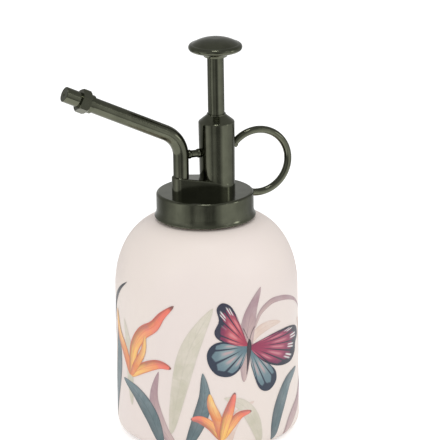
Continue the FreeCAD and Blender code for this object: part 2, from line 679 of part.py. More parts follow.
os.makedirs("parts", exist_ok=True)
for make in NODES:
    shape = make()
    if len(shape.Solids) == 1:
        shape = shape.Solids[0]
    print(make.__name__, len(shape.Solids), shape.isValid(), round(shape.Volume, 2))
    shape.exportStep(os.path.join("parts", make.__name__ + ".step"))
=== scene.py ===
import json
import math

import bpy
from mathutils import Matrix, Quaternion, Vector
from mathutils.geometry import interpolate_bezier


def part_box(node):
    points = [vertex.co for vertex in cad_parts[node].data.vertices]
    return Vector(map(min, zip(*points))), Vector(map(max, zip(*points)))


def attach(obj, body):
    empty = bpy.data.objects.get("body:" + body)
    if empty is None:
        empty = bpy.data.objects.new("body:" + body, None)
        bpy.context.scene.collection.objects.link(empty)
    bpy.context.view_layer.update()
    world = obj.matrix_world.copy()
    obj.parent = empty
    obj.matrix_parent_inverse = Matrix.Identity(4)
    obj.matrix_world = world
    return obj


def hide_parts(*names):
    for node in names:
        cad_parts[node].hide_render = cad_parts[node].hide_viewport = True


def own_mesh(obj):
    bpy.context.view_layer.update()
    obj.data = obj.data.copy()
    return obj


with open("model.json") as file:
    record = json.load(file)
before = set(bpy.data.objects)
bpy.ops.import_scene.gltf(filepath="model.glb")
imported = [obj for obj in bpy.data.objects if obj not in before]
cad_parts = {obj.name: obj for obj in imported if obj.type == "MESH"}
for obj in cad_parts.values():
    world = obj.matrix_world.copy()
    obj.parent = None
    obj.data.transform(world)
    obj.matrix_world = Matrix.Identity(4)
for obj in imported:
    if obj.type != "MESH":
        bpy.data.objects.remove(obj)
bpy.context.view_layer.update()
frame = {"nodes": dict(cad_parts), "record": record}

# Hand mister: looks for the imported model. Metres; +Z up, the spout towards -X.
MM = 0.001


# ---------------------------------------------------------------- the frame's places, the glass's own sizes
BOTTLE_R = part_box("bottle")[1].x
COLLAR_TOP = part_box("collar_shell")[1].z
SPRING_LOW, SPRING_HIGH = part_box("return_spring")
SIDE_TOP = 61.0 * MM           # where the straight side turns into the shoulder
SHOULDER_RISE = 28.6 * MM      # from there to the ledge under the neck
LEDGE_R = 18.0 * MM
BASE_ROUND = 5.0 * MM


def skin_radius(z):
    """Outer radius of the glass at a height."""
    if z < BASE_ROUND:
        dip = BASE_ROUND - z
        return BOTTLE_R - BASE_ROUND + math.sqrt(max(BASE_ROUND ** 2 - dip ** 2, 0))
    if z <= SIDE_TOP:
        return BOTTLE_R
    share = min((z - SIDE_TOP) / SHOULDER_RISE, 1)
    return LEDGE_R + (BOTTLE_R - LEDGE_R) * math.sqrt(1 - share ** 2)


# ---------------------------------------------------------------- camera
VIEW_AZ, VIEW_EL, VIEW_ROLL = -20.0, 17.3, -0.9
VIEW_DISTANCE = 1.6
VIEW_WIDTH = 0.1795            # width seen at the object
AIM_RIGHT, AIM_DOWN = 6.0 * MM, 12.2 * MM     # from the middle of the collar's top
SENSOR = 36.0


def add_camera():
    az, el = math.radians(VIEW_AZ), math.radians(VIEW_EL)
    back = Vector((math.sin(az) * math.cos(el), -math.cos(az) * math.cos(el), math.sin(el)))
    right = Vector((math.cos(az), math.sin(az), 0))
    up = back.cross(right)
    aim = Vector((0, 0, COLLAR_TOP)) + right * AIM_RIGHT - up * AIM_DOWN
    cam = bpy.data.objects.new("camera", bpy.data.cameras.new("camera"))
    bpy.context.collection.objects.link(cam)
    cam.location = aim + back * VIEW_DISTANCE
    turn = (-back).to_track_quat("-Z", "Y")
    cam.rotation_mode = "QUATERNION"
    cam.rotation_quaternion = Quaternion(back, math.radians(VIEW_ROLL)) @ turn
    cam.data.sensor_width = SENSOR
    cam.data.lens = SENSOR * VIEW_DISTANCE / VIEW_WIDTH
    cam.data.clip_start, cam.data.clip_end = 0.05, 20
    bpy.context.scene.camera = cam


# ---------------------------------------------------------------- node helpers
MIX_A, MIX_B, MIX_RESULT = 6, 7, 2      # a Mix node's colour sockets


class Nodes:
    """A material's node tree with short calls for what the materials here need."""

    def __init__(self, name):
        self.material = bpy.data.materials.new(name)
        self.material.use_nodes = True
        self.tree = self.material.node_tree
        self.tree.nodes.clear()
        self.out = self.tree.nodes.new("ShaderNodeOutputMaterial")
        self.shader = self.tree.nodes.new("ShaderNodeBsdfPrincipled")
        self.link(self.shader.outputs[0], self.out.inputs["Surface"])

    def link(self, source, target):
        self.tree.links.new(source, target)

    def put(self, value, socket):
        if isinstance(value, bpy.types.NodeSocket):
            self.link(value, socket)
        else:
            socket.default_value = value

    def plain(self, **values):
        for key, value in values.items():
            self.shader.inputs[key.replace("_", " ")].default_value = value

    def place(self, kind="Object"):
        return self.tree.nodes.new("ShaderNodeTexCoord").outputs[kind]

    def uv(self):
        parts = self.tree.nodes.new("ShaderNodeSeparateXYZ")
        self.link(self.place("UV"), parts.inputs[0])
        return parts.outputs[0], parts.outputs[1]

    def scaled(self, vector, scale):
        node = self.tree.nodes.new("ShaderNodeMapping")
        self.link(vector, node.inputs["Vector"])
        node.inputs["Scale"].default_value = scale
        return node.outputs[0]

    def noise(self, scale, detail=3.0, rough=0.5, vector=None, distortion=0.0):
        node = self.tree.nodes.new("ShaderNodeTexNoise")
        self.link(vector or self.place(), node.inputs["Vector"])
        node.inputs["Scale"].default_value = scale
        node.inputs["Detail"].default_value = detail
        node.inputs["Roughness"].default_value = rough
        node.inputs["Distortion"].default_value = distortion
        return node.outputs["Fac"]

    def math(self, kind, a, b=0.0):
        node = self.tree.nodes.new("ShaderNodeMath")
        node.operation = kind
        self.put(a, node.inputs[0])
        self.put(b, node.inputs[1])
        return node.outputs[0]

    def apart(self, a, b):
        return self.math("ABSOLUTE", self.math("SUBTRACT", a, b))

    def frayed(self, value, noise, amount):
        """The value moved up or down by a noise."""
        return self.math("ADD", value, self.math("MULTIPLY", self.math("SUBTRACT", noise, 0.5), amount))

    def ramp(self, fac, low, high, to_low=0.0, to_high=1.0):
        node = self.tree.nodes.new("ShaderNodeMapRange")
        node.interpolation_type = "SMOOTHSTEP"
        self.put(fac, node.inputs["Value"])
        for key, value in (("From Min", low), ("From Max", high), ("To Min", to_low), ("To Max", to_high)):
            self.put(value, node.inputs[key])
        return node.outputs[0]

    def mix(self, fac, a, b):
        node = self.tree.nodes.new("ShaderNodeMix")
        node.data_type = "RGBA"
        self.put(fac, node.inputs["Factor"])
        self.put(a, node.inputs[MIX_A])
        self.put(b, node.inputs[MIX_B])
        return node.outputs[MIX_RESULT]

    def bump(self, height, distance, strength=1.0):
        node = self.tree.nodes.new("ShaderNodeBump")
        node.inputs["Distance"].default_value = distance
        node.inputs["Strength"].default_value = strength
        self.link(height, node.inputs["Height"])
        self.link(node.outputs[0], self.shader.inputs["Normal"])

    def colour(self, value):
        self.put(value, self.shader.inputs["Base Color"])

    def roughness(self, value):
        self.put(value, self.shader.inputs["Roughness"])


def srgb(r, g, b):
    """Linear colour with alpha from 0-255 display values."""
    def channel(v):
        v /= 255
        return v / 12.92 if v <= 0.04045 else ((v + 0.055) / 1.055) ** 2.4
    return (channel(r), channel(g), channel(b), 1.0)


# ---------------------------------------------------------------- materials
COAT = srgb(237, 225, 218)
COAT_WARM = srgb(238, 227, 218)
COAT_COOL = srgb(236, 224, 219)
SATIN = 0.48


def satin(name):
    """Satin lacquer with a fine orange-peel and a soft top coat, over the bare glass and the inks alike."""
    n = Nodes(name)
    n.plain(Coat_Weight=0.12, Coat_Roughness=0.34, IOR=1.45)
    n.roughness(n.ramp(n.noise(90, 3), 0.3, 0.7, SATIN - 0.04, SATIN + 0.05))
    n.bump(n.noise(900, 2), 0.00002, 0.35)
    return n


def coated_glass():
    """Opaque lacquer whose tone drifts faintly over the glass."""
    n = satin("coated_glass")
    tone = n.mix(n.ramp(n.noise(22, 2, 0.5), 0.38, 0.62), COAT_COOL, COAT_WARM)
    n.colour(n.mix(0.5, tone, COAT))
    return n.material


PLATE = srgb(102, 104, 89)
PLATE_DEEP = srgb(92, 94, 80)


def dark_plate():
    """Glossy black-nickel plating with an olive tint, slightly uneven, with fine wiping marks."""
    n = Nodes("dark_plate")
    cloud = n.noise(140, 4, 0.6)
    n.colour(n.mix(n.ramp(cloud, 0.35, 0.65), PLATE_DEEP, PLATE))
    wipe = n.noise(1, 3, 0.6, n.scaled(n.place(), (2600, 2600, 160)))
    n.roughness(n.ramp(wipe, 0.3, 0.75, 0.1, 0.18))
    n.bump(n.noise(260, 4, 0.6), 0.00003, 0.12)
    n.plain(Metallic=1.0)
    return n.material


def seal_rubber():
    n = Nodes("seal_rubber")
    n.colour(n.mix(n.noise(600, 3), srgb(28, 28, 28), srgb(46, 45, 44)))
    n.roughness(n.ramp(n.noise(1500, 2), 0.3, 0.7, 0.55, 0.75))
    n.bump(n.noise(2500, 2), 0.00002, 0.4)
    return n.material


def white_plastic():
    n = Nodes("white_plastic")
    n.colour(n.mix(n.noise(120, 3), srgb(226, 225, 218), srgb(238, 237, 231)))
    n.roughness(n.ramp(n.noise(400, 3), 0.3, 0.7, 0.38, 0.5))
    n.bump(n.noise(1800, 2), 0.00001, 0.4)
    n.plain(Subsurface_Weight=0.05)
    return n.material


def spring_steel():
    n = Nodes("spring_steel")
    n.colour(n.mix(n.noise(300, 3), srgb(178, 180, 182), srgb(205, 206, 208)))
    n.roughness(n.ramp(n.noise(900, 3), 0.3, 0.7, 0.2, 0.34))
    n.bump(n.noise(2400, 3), 0.00001, 0.3)
    n.plain(Metallic=1.0)
    return n.material


def brass_insert():
    n = Nodes("brass_insert")
    n.colour(n.mix(n.noise(260, 3), srgb(196, 160, 86), srgb(214, 180, 104)))
    n.roughness(n.ramp(n.noise(1, 3, 0.6, n.scaled(n.place(), (600, 600, 4000))), 0.3, 0.7, 0.2, 0.36))
    n.bump(n.noise(1, 2, 0.5, n.scaled(n.place(), (200, 200, 6000))), 0.00001, 0.4)
    n.plain(Metallic=1.0)
    return n.material


def clear_tube():
    n = Nodes("clear_tube")
    n.colour(n.mix(n.noise(160, 3), srgb(225, 228, 224), srgb(240, 242, 238)))
    n.roughness(n.ramp(n.noise(500, 3), 0.3, 0.7, 0.22, 0.34))
    n.bump(n.noise(1, 2, 0.5, n.scaled(n.place(), (1500, 1500, 60))), 0.00001, 0.4)
    n.plain(Transmission_Weight=0.45, IOR=1.49)
    return n.material


MATERIALS = {make.__name__: make() for make in
             (coated_glass, dark_plate, seal_rubber, white_plastic, spring_steel, brass_insert, clear_tube)}


def dress(obj, material):
    if not obj.material_slots:
        obj.data.materials.append(material)
    for place in obj.material_slots:
        place.material = material


def dress_nodes():
    slots = {s["node"]: s["material_slot"] for s in frame["record"]["subparts"]}
    for name, obj in frame["nodes"].items():
        dress(obj, MATERIALS[slots[name]])


# ---------------------------------------------------------------- printed plants: materials
def leaf_ink(name, base, tip, edge, vein, wash, veins, shade=None, point=None):
    """Watercolour leaf: u runs from the stalk to the tip, v across. wash is how much coat shows through;
    shade darkens one side and point the very tip."""
    n = satin(name)
    u, v = n.uv()
    blot = n.noise(170, 4, 0.6, distortion=0.6)
    grain = n.noise(700, 3, 0.6)
    side = n.apart(v, 0.5)
    tone = n.mix(n.ramp(n.frayed(u, blot, 0.7), 0.15, 0.85), base, tip)
    if shade:
        dark_side = n.ramp(n.frayed(v, blot, 0.5), 0.45, 0.95)
        tone = n.mix(n.math("MULTIPLY", dark_side, 0.75), tone, shade)
    fan = n.math("SUBTRACT", n.math("MULTIPLY", u, veins), n.math("MULTIPLY", side, 3.0))
    rib = n.ramp(n.apart(n.math("FRACT", fan), 0.5), 0.02, 0.12, 0.35, 0.0)
    tone = n.mix(rib, tone, vein)
    tone = n.mix(n.ramp(side, 0.015, 0.05, 0.55, 0.0), tone, vein)
    rim = n.ramp(n.frayed(side, grain, 0.08), 0.38, 0.49)
    tone = n.mix(n.math("MULTIPLY", rim, 0.8), tone, edge)
    if point:
        tone = n.mix(n.ramp(n.math("ADD", u, n.math("MULTIPLY", grain, 0.05)), 0.93, 0.99), tone, point)
    pale = n.ramp(blot, 0.35, 0.75, wash * 0.4, wash * 1.25)
    n.colour(n.mix(pale, tone, COAT))
    return n.material


WING_BLUSH = srgb(232, 170, 170)
WING_STREAK = srgb(232, 232, 228)


def wing_ink(name, root, cell, far, margin, veins, spots=0.0, mark_at=0.5):
    """Butterfly wing: u runs from the root to the rim, v round the fan of veins. spots is the strength of
    the pale streaks near the rim, and mark_at the v they lie about."""
    n = satin(name)
    u, v = n.uv()
    blot = n.noise(240, 4, 0.6, distortion=0.8)
    grain = n.noise(900, 3, 0.6)
    reach = n.frayed(u, blot, 0.35)
    tone = n.mix(n.ramp(reach, 0.1, 0.5), root, cell)
    tone = n.mix(n.ramp(reach, 0.5, 0.85), tone, far)
    lane = n.apart(n.math("FRACT", n.math("MULTIPLY", v, veins)), 0.5)
    edge_of_lane = n.ramp(lane, 0.34, 0.47)
    tone = n.mix(n.math("MULTIPLY", edge_of_lane, n.ramp(u, 0.12, 0.4)), tone, margin)
    middle = n.ramp(n.apart(u, 0.5), 0.2, 0.05)
    light = n.math("MULTIPLY", n.ramp(lane, 0.26, 0.05), middle)
    tone = n.mix(n.math("MULTIPLY", light, 0.45), tone, WING_BLUSH)
    scallop = n.math("SUBTRACT", 0.88, n.math("MULTIPLY", lane, 0.16))
    rim = n.ramp(n.math("SUBTRACT", n.frayed(u, grain, 0.05), scallop), -0.015, 0.03)
    tone = n.mix(rim, tone, margin)
    mark_u = n.ramp(n.apart(u, 0.82), 0.11, 0.05)
    mark_v = n.ramp(n.apart(lane, 0.13), 0.1, 0.04)
    near_tip = n.ramp(n.apart(v, mark_at), 0.26, 0.18)
    marks = n.math("MULTIPLY", n.math("MULTIPLY", mark_u, mark_v), n.math("MULTIPLY", near_tip, spots))
    n.colour(n.mix(marks, tone, WING_STREAK))
    return n.material


# ---------------------------------------------------------------- printed plants: shapes
FRONT = -110.0                 # degrees round the bottle, the side that faces the camera
INK_LIFT = 0.05 * MM
INK_LAYER = 0.018 * MM
INK_ALONG, INK_ACROSS = 36, 10
LEAF_LEAST = 0.02              # half width of a blade's very tip, in unrolled millimetres


def on_skin(angle, z, lift):
    """A point just off the glass; angle in degrees from the front, z in metres."""
    turn = math.radians(FRONT + angle)
    radius = skin_radius(z)
    slope = (skin_radius(z + 1e-4) - skin_radius(z - 1e-4)) / 2e-4
    length = math.hypot(1, slope)
    out, up = lift / length, -lift * slope / length
    return Vector(((radius + out) * math.cos(turn), (radius + out) * math.sin(turn), z + up))


def flat(angle, z):
    """Unrolled millimetres for a place on the skin."""
    return Vector((math.radians(angle) * BOTTLE_R / MM, z / MM))


def lifted(point, lift):
    return on_skin(math.degrees(point.x * MM / BOTTLE_R), point.y * MM, lift)


def grid_piece(name, rows, uvs, material, layer):
    """Mesh from rows of unrolled points; each row has as many points as the next."""
    lift = INK_LIFT + INK_LAYER * layer
    verts = [lifted(p, lift) for row in rows for p in row]
    wide = len(rows[0])
    faces = []
    for i in range(len(rows) - 1):
        for j in range(wide - 1):
            a = i * wide + j
            faces.append((a, a + 1, a + wide + 1, a + wide))
    mesh = bpy.data.meshes.new(name)
    mesh.from_pydata(verts, [], faces)
    layer_uv = mesh.uv_layers.new(name="UVMap")
    for loop in mesh.loops:
        layer_uv.data[loop.index].uv = uvs[loop.vertex_index]
    mesh.validate()
    outward = sum((p.normal.dot(Vector((p.center.x, p.center.y, 0))) for p in mesh.polygons), 0.0)
    if outward < 0:
        mesh.flip_normals()
    mesh.shade_smooth()
    obj = bpy.data.objects.new(name, mesh)
    bpy.context.collection.objects.link(obj)
    mesh.materials.append(material)
    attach(obj, "bottle")
    return obj


def bend_line(points, steps):
    """Smooth line through a few unrolled points (Catmull-Rom as Beziers)."""
    pts = [Vector((p[0], p[1], 0)) for p in points]
    line = []
    for k in range(len(pts) - 1):
        before = pts[max(k - 1, 0)]
        after = pts[min(k + 2, len(pts) - 1)]
        h1 = pts[k] + (pts[k + 1] - before) / 6
        h2 = pts[k + 1] - (after - pts[k]) / 6
        piece = interpolate_bezier(pts[k], h1, h2, pts[k + 1], steps)
        line += piece if k == 0 else piece[1:]
    return [Vector((p.x, p.y)) for p in line]


def leaf(name, spine, width, ink, layer, fat=0.45, stalk=0.08, blunt=0.85):
    """A blade along a few (angle, height mm) places, stalk first. fat is where it is widest, and a lower
    blunt gives a rounder tip."""
    line = bend_line([flat(a, z * MM) for a, z in spine], INK_ALONG // (len(spine) - 1) + 1)
    count = len(line)
    rows, uvs = [], []
    power = math.log(0.5) / math.log(fat)
    for i, p in enumerate(line):
        s = i / (count - 1)
        ahead, behind = line[min(i + 1, count - 1)], line[max(i - 1, 0)]
        along = (ahead - behind).normalized()
        across = Vector((-along.y, along.x))
        half = width / 2 * (math.sin(math.pi * s ** power) ** blunt * (1 - stalk) + stalk * (1 - s))
        half = max(half, LEAF_LEAST)
        row = []
        for j in range(INK_ACROSS + 1):
            t = j / INK_ACROSS
            row.append(p + across * half * (2 * t - 1))
            uvs.append((s, t))
        rows.append(row)
    return grid_piece(name, rows, uvs, INKS[ink], layer)


WING_RINGS, WING_EDGE_STEPS = 16, 14


def wing(name, root, rim, material, layer):
    """A fan from the root (angle, height mm) to a rim through a few places, in unrolled millimetres."""
    centre = flat(root[0], root[1] * MM)
    edge = bend_line([centre + Vector(p) for p in rim], WING_EDGE_STEPS)
    rows, uvs = [], []
    for i in range(WING_RINGS + 1):
        share = i / WING_RINGS
        rows.append([centre + (p - centre) * max(share, 0.01) for p in edge])
        uvs += [(share, j / (len(edge) - 1)) for j in range(len(edge))]
    return grid_piece(name, rows, uvs, material, layer)


# ---------------------------------------------------------------- printed plants: the pattern
INKS = {
    "coral": leaf_ink("coral_ink", base=srgb(252, 200, 104), tip=srgb(242, 118, 98),
                      edge=srgb(214, 92, 76), vein=srgb(226, 96, 80), wash=0.12, veins=2.5,
                      shade=srgb(150, 66, 58), point=srgb(120, 62, 58)),
    "amber": leaf_ink("amber_ink", base=srgb(236, 138, 74), tip=srgb(252, 206, 120),
                      edge=srgb(206, 104, 66), vein=srgb(222, 128, 76), wash=0.15, veins=3.0,
                      shade=srgb(196, 92, 66)),
    "sage": leaf_ink("sage_ink", base=srgb(198, 194, 172), tip=srgb(214, 208, 190),
                     edge=srgb(206, 201, 184), vein=srgb(190, 186, 166), wash=0.35, veins=7.0),
    "mauve": leaf_ink("mauve_ink", base=srgb(196, 170, 166), tip=srgb(164, 128, 138),
                      edge=srgb(166, 136, 142), vein=srgb(152, 118, 128), wash=0.25, veins=6.0,
                      shade=srgb(150, 118, 130)),
    "peach": leaf_ink("peach_ink", base=srgb(222, 196, 180), tip=srgb(226, 204, 190),
                      edge=srgb(214, 184, 170), vein=srgb(208, 178, 164), wash=0.5, veins=5.0),
    "teal": leaf_ink("teal_ink", base=srgb(84, 108, 114), tip=srgb(108, 130, 136),
                     edge=srgb(60, 80, 88), vein=srgb(62, 84, 92), wash=0.1, veins=9.0,
                     shade=srgb(66, 86, 94)),
    "slate": leaf_ink("slate_ink", base=srgb(110, 118, 122), tip=srgb(62, 66, 72),
                      edge=srgb(70, 76, 82), vein=srgb(64, 70, 76), wash=0.08, veins=4.0),
    "body": leaf_ink("body_ink", base=srgb(58, 50, 60), tip=srgb(40, 36, 46),
                     edge=srgb(34, 32, 40), vein=srgb(96, 74, 84), wash=0.05, veins=14.0),
    "crimson": wing_ink("crimson_ink", root=srgb(168, 60, 84), cell=srgb(206, 96, 108),
                        far=srgb(128, 52, 86), margin=srgb(52, 54, 72), veins=7.0,
                        spots=0.85, mark_at=0.38),
    "plum": wing_ink("plum_ink", root=srgb(150, 52, 84), cell=srgb(172, 72, 104),
                     far=srgb(122, 50, 84), margin=srgb(46, 48, 62), veins=8.0, spots=0.9),
    "lagoon": wing_ink("lagoon_ink", root=srgb(96, 122, 132), cell=srgb(142, 162, 166),
                       far=srgb(106, 130, 140), margin=srgb(44, 54, 72), veins=6.0),
}

# Wings as rims round the root, in unrolled millimetres, for a butterfly that faces up.
UPPER_LEFT = ((-1.2, 2.0), (-2.9, 7.6), (-5.0, 13.5), (-7.6, 18.0), (-11.0, 19.4), (-13.2, 17.0),
              (-12.4, 12.0), (-14.2, 7.6), (-13.2, 4.6), (-9.6, 2.4), (-4.6, 0.6))
LOWER_LEFT = ((-4.6, 0.8), (-10.8, 3.0), (-15.2, 1.8), (-17.4, -2.0), (-16.6, -7.0), (-13.4, -11.0),
              (-8.2, -12.0), (-4.0, -9.4), (-1.2, -4.0))
UPPER_RIGHT = ((1.4, -0.4), (7.2, 1.8), (15.6, 3.0), (24.6, 2.6), (31.5, 0.4), (33.6, -3.6), (30.6, -6.4),
               (29.4, -10.0), (24.6, -12.6), (16.0, -12.0), (8.0, -8.6), (2.6, -3.8))
LOWER_RIGHT = ((2.6, -3.4), (9.0, -9.0), (13.6, -13.4), (13.8, -18.0), (9.4, -21.0), (4.6, -18.6),
               (1.2, -9.0))


def butterfly(name, root, layer):
    """Four wings, a body and two feelers; the body leans a little off upright."""
    wing(f"{name}_wing_ll", root, LOWER_LEFT, INKS["lagoon"], layer)
    wing(f"{name}_wing_lr", root, LOWER_RIGHT, INKS["lagoon"], layer)
    wing(f"{name}_wing_ul", root, UPPER_LEFT, INKS["crimson"], layer + 1)
    wing(f"{name}_wing_ur", root, UPPER_RIGHT, INKS["plum"], layer + 1)
    a, z = root
    leaf(f"{name}_body", [(a - 1.5, z - 12), (a, z - 4), (a + 0.8, z + 3)], 2.2, "body", layer + 2, fat=0.7)
    for side, reach in (("l", -3.5), ("r", 4.5)):
        leaf(f"{name}_feeler_{side}", [(a + 0.6, z + 2), (a + reach / 2, z + 5.5), (a + reach, z + 8)], 0.4,
             "body", layer + 2, fat=0.8, stalk=0.5)


def flower(name, root, petals, layer):
    """Long petals that share a root; each is a list of steps from the root, a width and an ink."""
    a, z = root
    for k, (steps, width, ink) in enumerate(petals):
        spine = [(a, z)] + [(a + da, z + dz) for da, dz in steps]
        leaf(f"{name}_petal_{k}", spine, width, ink, layer + k, fat=0.42, blunt=0.62)


CRANE_FLOWER = (
    (((-7, 9), (-16, 16), (-20, 25)), 5.0, "amber"),
    (((12, 5), (24, 8), (33, 7)), 4.6, "coral"),
    (((2, 8), (5, 14), (12, 20), (21, 24), (27, 29), (35.5, 34)), 5.9, "coral"),
    (((5, 5), (12, 12), (14, 19)), 3.6, "amber"))
SMALL_FLOWER = (
    (((-6, 6), (-13, 9), (-19, 9)), 4.0, "coral"),
    (((6, 6), (12, 10), (20, 11)), 4.0, "coral"),
    (((-2, 8), (-6, 15), (-7, 20)), 4.2, "amber"),
    (((3, 8), (6, 14), (9, 20)), 4.4, "coral"))

# Leaves from the stalk to the tip in (degrees, millimetres above the base), widest width, ink and layer.
LEAVES = (
    # towards the front
    (((-24, 8), (-18, 28), (-12, 43), (-4, 54), (4, 62.5)), 8.4, "sage", 1),
    (((23, 30), (24.5, 44), (26.5, 54), (30, 61.5), (36.6, 68.8)), 6.8, "mauve", 2),
    (((31, 52), (34.5, 57.3), (39.5, 60.2), (47, 61.8), (60, 60.6), (74, 56.8), (88, 50)), 2.5, "mauve", 1),
    (((24, 44), (33, 50), (43, 52), (53, 51.6)), 4.2, "peach", 1),
    (((-104, 26), (-88, 46), (-79, 57), (-70, 63.5), (-60.5, 68)), 2.6, "slate", 1),
    (((-90, 4), (-80, 20), (-74, 34), (-75, 50)), 8.6, "teal", 2),
    (((-56, 16), (-58, 32), (-59, 42), (-64, 52)), 5.6, "sage", 1),
    (((-30, 2), (-38, 14), (-50, 22), (-66, 26)), 7.6, "teal", 3),
    (((-14, 2), (-6, 14), (-2, 24), (-3, 35)), 6.4, "teal", 4),
    (((-20, 2), (-30, 10), (-36, 22), (-32, 34)), 5.4, "mauve", 2),
    (((34, 2), (30, 12), (22, 20), (10, 24)), 6.2, "sage", 3),
    (((44, 2), (50, 14), (60, 24), (74, 28)), 7.0, "teal", 3),
    (((56, 2), (66, 8), (80, 14), (92, 24)), 5.8, "mauve", 4),
    (((12, 2), (14, 10), (20, 17), (30, 21)), 4.6, "peach", 2),
    # round the back
    (((104, 2), (100, 18), (98, 34), (104, 50), (114, 60)), 7.6, "sage", 1),
    (((118, 2), (124, 18), (130, 32), (128, 46), (122, 56)), 7.8, "teal", 2),
    (((96, 20), (92, 34), (86, 44), (78, 48)), 4.6, "peach", 1),
    (((140, 2), (146, 16), (150, 30), (147, 42)), 6.6, "mauve", 3),
    (((168, 2), (160, 14), (156, 28), (158, 40)), 6.2, "sage", 2),
    (((176, 4), (184, 20), (188, 36), (184, 50), (176, 62)), 8.0, "teal", 1),
    (((200, 2), (196, 18), (198, 34), (206, 48), (218, 60)), 7.4, "sage", 2),
    (((212, 26), (216, 44), (226, 56), (240, 62), (250, 58)), 2.6, "mauve", 1),
    (((216, 2), (222, 14), (232, 24), (244, 28)), 6.8, "teal", 3),
    (((238, 2), (242, 18), (240, 34), (232, 48)), 6.6, "mauve", 2),
    (((250, 2), (256, 14), (258, 26), (252, 38)), 5.2, "sage", 3))


def print_pattern():
    for k, (spine, width, ink, layer) in enumerate(LEAVES):
        leaf(f"leaf_{k:02d}_{ink}", spine, width, ink, layer)
    flower("crane_flower", (-56, 29), CRANE_FLOWER, 5)
    flower("low_flower", (8, 6), SMALL_FLOWER, 6)
    flower("back_flower", (150, 24), CRANE_FLOWER, 5)
    flower("side_flower", (228, 8), SMALL_FLOWER, 6)
    butterfly("butterfly_front", (26.4, 45.0), 6)
    butterfly("butterfly_back", (200, 42), 6)


# ---------------------------------------------------------------- small metal pieces
def tube_mesh(name, rings, material, closed=False):
    """Skin over rings of points, with flat ends unless the rings close on themselves."""
    around = len(rings[0])
    faces = []
    for i in range(len(rings) if closed else len(rings) - 1):
        a, b = i * around, (i + 1) % len(rings) * around
        faces += [(a + j, a + (j + 1) % around, b + (j + 1) % around, b + j) for j in range(around)]
    if not closed:
        last = (len(rings) - 1) * around
        faces += [tuple(reversed(range(around))), tuple(range(last, last + around))]
    mesh = bpy.data.meshes.new(name)
    mesh.from_pydata([p for ring in rings for p in ring], [], faces)
    mesh.shade_smooth()
    mesh.materials.append(material)
    obj = bpy.data.objects.new(name, mesh)
    bpy.context.collection.objects.link(obj)
    return obj


SPRING_WIRE_R = 0.45 * MM
SPRING_TURNS = 8
SPRING_DEAD = 0.75             # turns at each end that lie almost flat
SPRING_DEAD_PITCH = 2.1        # rise of such a turn, in wire radii
SPRING_STEPS, WIRE_SIDES = 36, 10


def add_spring():
    """Coil with closed ends."""
    middle = (SPRING_LOW + SPRING_HIGH) / 2
    radius = (SPRING_HIGH.x - SPRING_LOW.x) / 2 - SPRING_WIRE_R
    foot, top = SPRING_LOW.z + SPRING_WIRE_R, SPRING_HIGH.z - SPRING_WIRE_R
    dead_rise = SPRING_DEAD_PITCH * SPRING_WIRE_R
    rings = []
    for i in range(SPRING_TURNS * SPRING_STEPS + 1):
        turn = i / SPRING_STEPS
        live = min(max((turn - SPRING_DEAD) / (SPRING_TURNS - 2 * SPRING_DEAD), 0), 1)
        ends = min(turn, SPRING_DEAD) + max(turn - SPRING_TURNS + SPRING_DEAD, 0)
        z = foot + ends * dead_rise + live * (top - foot - 2 * SPRING_DEAD * dead_rise)
        angle = math.tau * turn
        out = Vector((math.cos(angle), math.sin(angle), 0))
        centre = Vector((middle.x, middle.y, z)) + out * radius
        rings.append([centre + (out * math.cos(math.tau * k / WIRE_SIDES)
                                + Vector((0, 0, math.sin(math.tau * k / WIRE_SIDES)))) * SPRING_WIRE_R
                      for k in range(WIRE_SIDES)])
    coil = tube_mesh("spring_coil", rings, MATERIALS["spring_steel"])
    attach(coil, "head")
    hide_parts("return_spring")
    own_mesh(coil)


BEAD_SIDES, BEAD_STEPS = 8, 40
BEAD_PROUD, BEAD_WAVE = 0.45, 0.08     # height off the rod and unevenness, as shares of the half width


def braze(name, centre, axis, rod_r, size):
    """Bead of braze round a rod where it meets a wall."""
    axis = Vector(axis).normalized()
    side = axis.orthogonal().normalized()
    other = axis.cross(side)
    rings = []
    for i in range(BEAD_STEPS):
        angle = math.tau * i / BEAD_STEPS
        out = side * math.cos(angle) + other * math.sin(angle)
        swell = size * (1 + BEAD_WAVE * math.sin(3 * angle + 1))
        turns = [math.tau * k / BEAD_SIDES for k in range(BEAD_SIDES)]
        rings.append([Vector(centre) + out * (rod_r + swell * BEAD_PROUD * math.cos(turn))
                      + axis * swell * math.sin(turn) for turn in turns])
    bead = tube_mesh(name, rings, MATERIALS["dark_plate"], closed=True)
    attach(bead, "head")


RING_MEAN_R = 13.3 * MM
RING_CORD_R = 1.5 * MM
RING_AT_BARREL, RING_AT_COLLAR = 140.0, -104.0     # degrees round the finger ring
BEAD_SIZE = 0.8 * MM


def add_brazing():
    low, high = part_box("spout_brace")
    brace_r = (high.z - low.z) / 2
    level = (low.z + high.z) / 2
    braze("braze_brace_spout", (low.x + BEAD_SIZE, 0, level), (1, 0, 0), brace_r, BEAD_SIZE)
    braze("braze_brace_barrel", (high.x - BEAD_SIZE, 0, level), (1, 0, 0), brace_r, BEAD_SIZE)
    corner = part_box("finger_ring")[1]
    middle = Vector((corner.x - RING_CORD_R - RING_MEAN_R, 0, corner.z - RING_CORD_R - RING_MEAN_R))
    for name, degrees in (("barrel", RING_AT_BARREL), ("collar", RING_AT_COLLAR)):
        turn = math.radians(degrees)
        spot = middle + Vector((math.cos(turn), 0, math.sin(turn))) * RING_MEAN_R
        braze(f"braze_ring_{name}", spot, (-math.sin(turn), 0, math.cos(turn)), RING_CORD_R, BEAD_SIZE)


